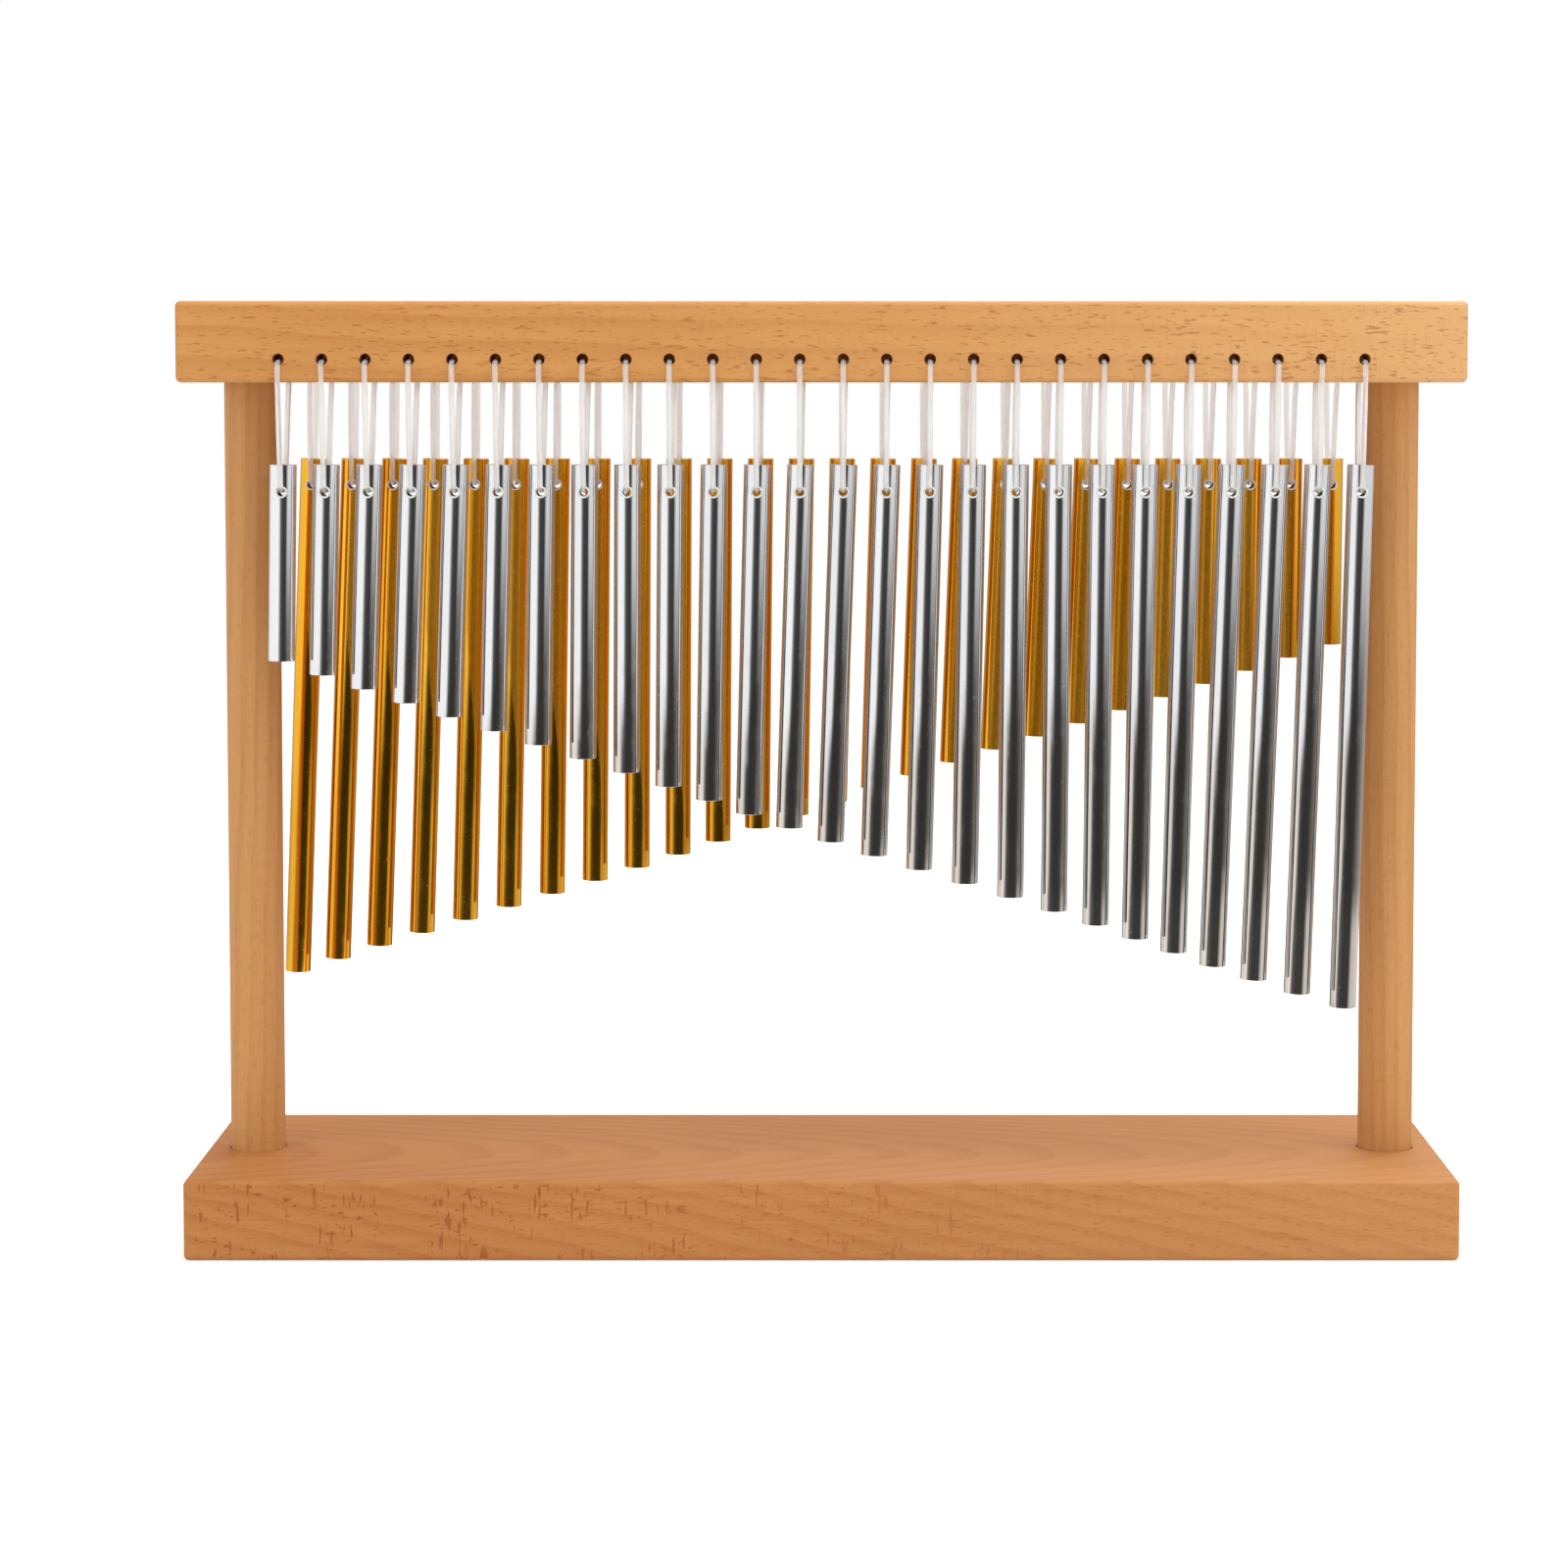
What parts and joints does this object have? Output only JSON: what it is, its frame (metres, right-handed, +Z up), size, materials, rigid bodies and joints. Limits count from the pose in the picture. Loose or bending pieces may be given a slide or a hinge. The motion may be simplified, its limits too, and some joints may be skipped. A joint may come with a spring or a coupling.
{
  "type": "double row wind chime",
  "caption": "Table-top bar chimes: a row of silver tubes and a row of gold tubes laced on cord under a wooden rail, which stands on two posts and a base board.",
  "frame": {"origin": "centre of the base board's underside, on the table", "axes": "+X along the rows to the player's right, +Y away from the player, +Z up"},
  "size_m": [0.476, 0.12, 0.355],
  "materials": {
    "beech_board": "satin lacquered beech",
    "beech_post": "satin lacquered beech dowel",
    "beech_rail": "satin lacquered beech",
    "silver_tube": "polished",
    "gold_tube": "polished and anodised gold",
    "cord": "white braided nylon"
  },
  "bodies": {
    "frame": {"base_board": "beech_board", "left_post": "beech_post", "right_post": "beech_post", "top_rail": "beech_rail", "silver_row_cord": "cord", "gold_row_cord": "cord"},
    "silver_tube_01": {"silver_tube_01": "silver_tube"},
    "silver_tube_02": {"silver_tube_02": "silver_tube"},
    "silver_tube_03": {"silver_tube_03": "silver_tube"},
    "silver_tube_04": {"silver_tube_04": "silver_tube"},
    "silver_tube_05": {"silver_tube_05": "silver_tube"},
    "silver_tube_06": {"silver_tube_06": "silver_tube"},
    "silver_tube_07": {"silver_tube_07": "silver_tube"},
    "silver_tube_08": {"silver_tube_08": "silver_tube"},
    "silver_tube_09": {"silver_tube_09": "silver_tube"},
    "silver_tube_10": {"silver_tube_10": "silver_tube"},
    "silver_tube_11": {"silver_tube_11": "silver_tube"},
    "silver_tube_12": {"silver_tube_12": "silver_tube"},
    "silver_tube_13": {"silver_tube_13": "silver_tube"},
    "silver_tube_14": {"silver_tube_14": "silver_tube"},
    "silver_tube_15": {"silver_tube_15": "silver_tube"},
    "silver_tube_16": {"silver_tube_16": "silver_tube"},
    "silver_tube_17": {"silver_tube_17": "silver_tube"},
    "silver_tube_18": {"silver_tube_18": "silver_tube"},
    "silver_tube_19": {"silver_tube_19": "silver_tube"},
    "silver_tube_20": {"silver_tube_20": "silver_tube"},
    "silver_tube_21": {"silver_tube_21": "silver_tube"},
    "silver_tube_22": {"silver_tube_22": "silver_tube"},
    "silver_tube_23": {"silver_tube_23": "silver_tube"},
    "silver_tube_24": {"silver_tube_24": "silver_tube"},
    "silver_tube_25": {"silver_tube_25": "silver_tube"},
    "silver_tube_26": {"silver_tube_26": "silver_tube"},
    "gold_tube_01": {"gold_tube_01": "gold_tube"},
    "gold_tube_02": {"gold_tube_02": "gold_tube"},
    "gold_tube_03": {"gold_tube_03": "gold_tube"},
    "gold_tube_04": {"gold_tube_04": "gold_tube"},
    "gold_tube_05": {"gold_tube_05": "gold_tube"},
    "gold_tube_06": {"gold_tube_06": "gold_tube"},
    "gold_tube_07": {"gold_tube_07": "gold_tube"},
    "gold_tube_08": {"gold_tube_08": "gold_tube"},
    "gold_tube_09": {"gold_tube_09": "gold_tube"},
    "gold_tube_10": {"gold_tube_10": "gold_tube"},
    "gold_tube_11": {"gold_tube_11": "gold_tube"},
    "gold_tube_12": {"gold_tube_12": "gold_tube"},
    "gold_tube_13": {"gold_tube_13": "gold_tube"},
    "gold_tube_14": {"gold_tube_14": "gold_tube"},
    "gold_tube_15": {"gold_tube_15": "gold_tube"},
    "gold_tube_16": {"gold_tube_16": "gold_tube"},
    "gold_tube_17": {"gold_tube_17": "gold_tube"},
    "gold_tube_18": {"gold_tube_18": "gold_tube"},
    "gold_tube_19": {"gold_tube_19": "gold_tube"},
    "gold_tube_20": {"gold_tube_20": "gold_tube"},
    "gold_tube_21": {"gold_tube_21": "gold_tube"},
    "gold_tube_22": {"gold_tube_22": "gold_tube"},
    "gold_tube_23": {"gold_tube_23": "gold_tube"},
    "gold_tube_24": {"gold_tube_24": "gold_tube"},
    "gold_tube_25": {"gold_tube_25": "gold_tube"},
    "gold_tube_26": {"gold_tube_26": "gold_tube"}
  },
  "joints": [
    {"name": "silver_swing_01", "type": "hinge", "parent": "frame", "child": "silver_tube_01", "pos_m": [-0.2, -0.04, 0.325], "axis": [1, 0, 0], "range_deg": [-60, 20], "deforming": ["silver_row_cord"]},
    {"name": "silver_swing_02", "type": "hinge", "parent": "frame", "child": "silver_tube_02", "pos_m": [-0.184, -0.04, 0.325], "axis": [1, 0, 0], "range_deg": [-60, 20], "deforming": ["silver_row_cord"]},
    {"name": "silver_swing_03", "type": "hinge", "parent": "frame", "child": "silver_tube_03", "pos_m": [-0.168, -0.04, 0.325], "axis": [1, 0, 0], "range_deg": [-60, 20], "deforming": ["silver_row_cord"]},
    {"name": "silver_swing_04", "type": "hinge", "parent": "frame", "child": "silver_tube_04", "pos_m": [-0.152, -0.04, 0.325], "axis": [1, 0, 0], "range_deg": [-60, 20], "deforming": ["silver_row_cord"]},
    {"name": "silver_swing_05", "type": "hinge", "parent": "frame", "child": "silver_tube_05", "pos_m": [-0.136, -0.04, 0.325], "axis": [1, 0, 0], "range_deg": [-60, 20], "deforming": ["silver_row_cord"]},
    {"name": "silver_swing_06", "type": "hinge", "parent": "frame", "child": "silver_tube_06", "pos_m": [-0.12, -0.04, 0.325], "axis": [1, 0, 0], "range_deg": [-60, 20], "deforming": ["silver_row_cord"]},
    {"name": "silver_swing_07", "type": "hinge", "parent": "frame", "child": "silver_tube_07", "pos_m": [-0.104, -0.04, 0.325], "axis": [1, 0, 0], "range_deg": [-60, 20], "deforming": ["silver_row_cord"]},
    {"name": "silver_swing_08", "type": "hinge", "parent": "frame", "child": "silver_tube_08", "pos_m": [-0.088, -0.04, 0.325], "axis": [1, 0, 0], "range_deg": [-60, 20], "deforming": ["silver_row_cord"]},
    {"name": "silver_swing_09", "type": "hinge", "parent": "frame", "child": "silver_tube_09", "pos_m": [-0.072, -0.04, 0.325], "axis": [1, 0, 0], "range_deg": [-60, 20], "deforming": ["silver_row_cord"]},
    {"name": "silver_swing_10", "type": "hinge", "parent": "frame", "child": "silver_tube_10", "pos_m": [-0.056, -0.04, 0.325], "axis": [1, 0, 0], "range_deg": [-60, 20], "deforming": ["silver_row_cord"]},
    {"name": "silver_swing_11", "type": "hinge", "parent": "frame", "child": "silver_tube_11", "pos_m": [-0.04, -0.04, 0.325], "axis": [1, 0, 0], "range_deg": [-60, 20], "deforming": ["silver_row_cord"]},
    {"name": "silver_swing_12", "type": "hinge", "parent": "frame", "child": "silver_tube_12", "pos_m": [-0.024, -0.04, 0.325], "axis": [1, 0, 0], "range_deg": [-60, 20], "deforming": ["silver_row_cord"]},
    {"name": "silver_swing_13", "type": "hinge", "parent": "frame", "child": "silver_tube_13", "pos_m": [-0.008, -0.04, 0.325], "axis": [1, 0, 0], "range_deg": [-60, 20], "deforming": ["silver_row_cord"]},
    {"name": "silver_swing_14", "type": "hinge", "parent": "frame", "child": "silver_tube_14", "pos_m": [0.008, -0.04, 0.325], "axis": [1, 0, 0], "range_deg": [-60, 20], "deforming": ["silver_row_cord"]},
    {"name": "silver_swing_15", "type": "hinge", "parent": "frame", "child": "silver_tube_15", "pos_m": [0.024, -0.04, 0.325], "axis": [1, 0, 0], "range_deg": [-60, 20], "deforming": ["silver_row_cord"]},
    {"name": "silver_swing_16", "type": "hinge", "parent": "frame", "child": "silver_tube_16", "pos_m": [0.04, -0.04, 0.325], "axis": [1, 0, 0], "range_deg": [-60, 20], "deforming": ["silver_row_cord"]},
    {"name": "silver_swing_17", "type": "hinge", "parent": "frame", "child": "silver_tube_17", "pos_m": [0.056, -0.04, 0.325], "axis": [1, 0, 0], "range_deg": [-60, 20], "deforming": ["silver_row_cord"]},
    {"name": "silver_swing_18", "type": "hinge", "parent": "frame", "child": "silver_tube_18", "pos_m": [0.072, -0.04, 0.325], "axis": [1, 0, 0], "range_deg": [-60, 20], "deforming": ["silver_row_cord"]},
    {"name": "silver_swing_19", "type": "hinge", "parent": "frame", "child": "silver_tube_19", "pos_m": [0.088, -0.04, 0.325], "axis": [1, 0, 0], "range_deg": [-60, 20], "deforming": ["silver_row_cord"]},
    {"name": "silver_swing_20", "type": "hinge", "parent": "frame", "child": "silver_tube_20", "pos_m": [0.104, -0.04, 0.325], "axis": [1, 0, 0], "range_deg": [-60, 20], "deforming": ["silver_row_cord"]},
    {"name": "silver_swing_21", "type": "hinge", "parent": "frame", "child": "silver_tube_21", "pos_m": [0.12, -0.04, 0.325], "axis": [1, 0, 0], "range_deg": [-60, 20], "deforming": ["silver_row_cord"]},
    {"name": "silver_swing_22", "type": "hinge", "parent": "frame", "child": "silver_tube_22", "pos_m": [0.136, -0.04, 0.325], "axis": [1, 0, 0], "range_deg": [-60, 20], "deforming": ["silver_row_cord"]},
    {"name": "silver_swing_23", "type": "hinge", "parent": "frame", "child": "silver_tube_23", "pos_m": [0.152, -0.04, 0.325], "axis": [1, 0, 0], "range_deg": [-60, 20], "deforming": ["silver_row_cord"]},
    {"name": "silver_swing_24", "type": "hinge", "parent": "frame", "child": "silver_tube_24", "pos_m": [0.168, -0.04, 0.325], "axis": [1, 0, 0], "range_deg": [-60, 20], "deforming": ["silver_row_cord"]},
    {"name": "silver_swing_25", "type": "hinge", "parent": "frame", "child": "silver_tube_25", "pos_m": [0.184, -0.04, 0.325], "axis": [1, 0, 0], "range_deg": [-60, 20], "deforming": ["silver_row_cord"]},
    {"name": "silver_swing_26", "type": "hinge", "parent": "frame", "child": "silver_tube_26", "pos_m": [0.2, -0.04, 0.325], "axis": [1, 0, 0], "range_deg": [-60, 20], "deforming": ["silver_row_cord"]},
    {"name": "gold_swing_01", "type": "hinge", "parent": "frame", "child": "gold_tube_01", "pos_m": [-0.2, 0.04, 0.325], "axis": [1, 0, 0], "range_deg": [-6, 60], "deforming": ["gold_row_cord"]},
    {"name": "gold_swing_02", "type": "hinge", "parent": "frame", "child": "gold_tube_02", "pos_m": [-0.184, 0.04, 0.325], "axis": [1, 0, 0], "range_deg": [-20, 60], "deforming": ["gold_row_cord"]},
    {"name": "gold_swing_03", "type": "hinge", "parent": "frame", "child": "gold_tube_03", "pos_m": [-0.168, 0.04, 0.325], "axis": [1, 0, 0], "range_deg": [-20, 60], "deforming": ["gold_row_cord"]},
    {"name": "gold_swing_04", "type": "hinge", "parent": "frame", "child": "gold_tube_04", "pos_m": [-0.152, 0.04, 0.325], "axis": [1, 0, 0], "range_deg": [-20, 60], "deforming": ["gold_row_cord"]},
    {"name": "gold_swing_05", "type": "hinge", "parent": "frame", "child": "gold_tube_05", "pos_m": [-0.136, 0.04, 0.325], "axis": [1, 0, 0], "range_deg": [-20, 60], "deforming": ["gold_row_cord"]},
    {"name": "gold_swing_06", "type": "hinge", "parent": "frame", "child": "gold_tube_06", "pos_m": [-0.12, 0.04, 0.325], "axis": [1, 0, 0], "range_deg": [-20, 60], "deforming": ["gold_row_cord"]},
    {"name": "gold_swing_07", "type": "hinge", "parent": "frame", "child": "gold_tube_07", "pos_m": [-0.104, 0.04, 0.325], "axis": [1, 0, 0], "range_deg": [-20, 60], "deforming": ["gold_row_cord"]},
    {"name": "gold_swing_08", "type": "hinge", "parent": "frame", "child": "gold_tube_08", "pos_m": [-0.088, 0.04, 0.325], "axis": [1, 0, 0], "range_deg": [-20, 60], "deforming": ["gold_row_cord"]},
    {"name": "gold_swing_09", "type": "hinge", "parent": "frame", "child": "gold_tube_09", "pos_m": [-0.072, 0.04, 0.325], "axis": [1, 0, 0], "range_deg": [-20, 60], "deforming": ["gold_row_cord"]},
    {"name": "gold_swing_10", "type": "hinge", "parent": "frame", "child": "gold_tube_10", "pos_m": [-0.056, 0.04, 0.325], "axis": [1, 0, 0], "range_deg": [-20, 60], "deforming": ["gold_row_cord"]},
    {"name": "gold_swing_11", "type": "hinge", "parent": "frame", "child": "gold_tube_11", "pos_m": [-0.04, 0.04, 0.325], "axis": [1, 0, 0], "range_deg": [-20, 60], "deforming": ["gold_row_cord"]},
    {"name": "gold_swing_12", "type": "hinge", "parent": "frame", "child": "gold_tube_12", "pos_m": [-0.024, 0.04, 0.325], "axis": [1, 0, 0], "range_deg": [-20, 60], "deforming": ["gold_row_cord"]},
    {"name": "gold_swing_13", "type": "hinge", "parent": "frame", "child": "gold_tube_13", "pos_m": [-0.008, 0.04, 0.325], "axis": [1, 0, 0], "range_deg": [-20, 60], "deforming": ["gold_row_cord"]},
    {"name": "gold_swing_14", "type": "hinge", "parent": "frame", "child": "gold_tube_14", "pos_m": [0.008, 0.04, 0.325], "axis": [1, 0, 0], "range_deg": [-20, 60], "deforming": ["gold_row_cord"]},
    {"name": "gold_swing_15", "type": "hinge", "parent": "frame", "child": "gold_tube_15", "pos_m": [0.024, 0.04, 0.325], "axis": [1, 0, 0], "range_deg": [-20, 60], "deforming": ["gold_row_cord"]},
    {"name": "gold_swing_16", "type": "hinge", "parent": "frame", "child": "gold_tube_16", "pos_m": [0.04, 0.04, 0.325], "axis": [1, 0, 0], "range_deg": [-20, 60], "deforming": ["gold_row_cord"]},
    {"name": "gold_swing_17", "type": "hinge", "parent": "frame", "child": "gold_tube_17", "pos_m": [0.056, 0.04, 0.325], "axis": [1, 0, 0], "range_deg": [-20, 60], "deforming": ["gold_row_cord"]},
    {"name": "gold_swing_18", "type": "hinge", "parent": "frame", "child": "gold_tube_18", "pos_m": [0.072, 0.04, 0.325], "axis": [1, 0, 0], "range_deg": [-20, 60], "deforming": ["gold_row_cord"]},
    {"name": "gold_swing_19", "type": "hinge", "parent": "frame", "child": "gold_tube_19", "pos_m": [0.088, 0.04, 0.325], "axis": [1, 0, 0], "range_deg": [-20, 60], "deforming": ["gold_row_cord"]},
    {"name": "gold_swing_20", "type": "hinge", "parent": "frame", "child": "gold_tube_20", "pos_m": [0.104, 0.04, 0.325], "axis": [1, 0, 0], "range_deg": [-20, 60], "deforming": ["gold_row_cord"]},
    {"name": "gold_swing_21", "type": "hinge", "parent": "frame", "child": "gold_tube_21", "pos_m": [0.12, 0.04, 0.325], "axis": [1, 0, 0], "range_deg": [-20, 60], "deforming": ["gold_row_cord"]},
    {"name": "gold_swing_22", "type": "hinge", "parent": "frame", "child": "gold_tube_22", "pos_m": [0.136, 0.04, 0.325], "axis": [1, 0, 0], "range_deg": [-20, 60], "deforming": ["gold_row_cord"]},
    {"name": "gold_swing_23", "type": "hinge", "parent": "frame", "child": "gold_tube_23", "pos_m": [0.152, 0.04, 0.325], "axis": [1, 0, 0], "range_deg": [-20, 60], "deforming": ["gold_row_cord"]},
    {"name": "gold_swing_24", "type": "hinge", "parent": "frame", "child": "gold_tube_24", "pos_m": [0.168, 0.04, 0.325], "axis": [1, 0, 0], "range_deg": [-20, 60], "deforming": ["gold_row_cord"]},
    {"name": "gold_swing_25", "type": "hinge", "parent": "frame", "child": "gold_tube_25", "pos_m": [0.184, 0.04, 0.325], "axis": [1, 0, 0], "range_deg": [-20, 60], "deforming": ["gold_row_cord"]},
    {"name": "gold_swing_26", "type": "hinge", "parent": "frame", "child": "gold_tube_26", "pos_m": [0.2, 0.04, 0.325], "axis": [1, 0, 0], "range_deg": [-20, 60], "deforming": ["gold_row_cord"]}
  ]
}
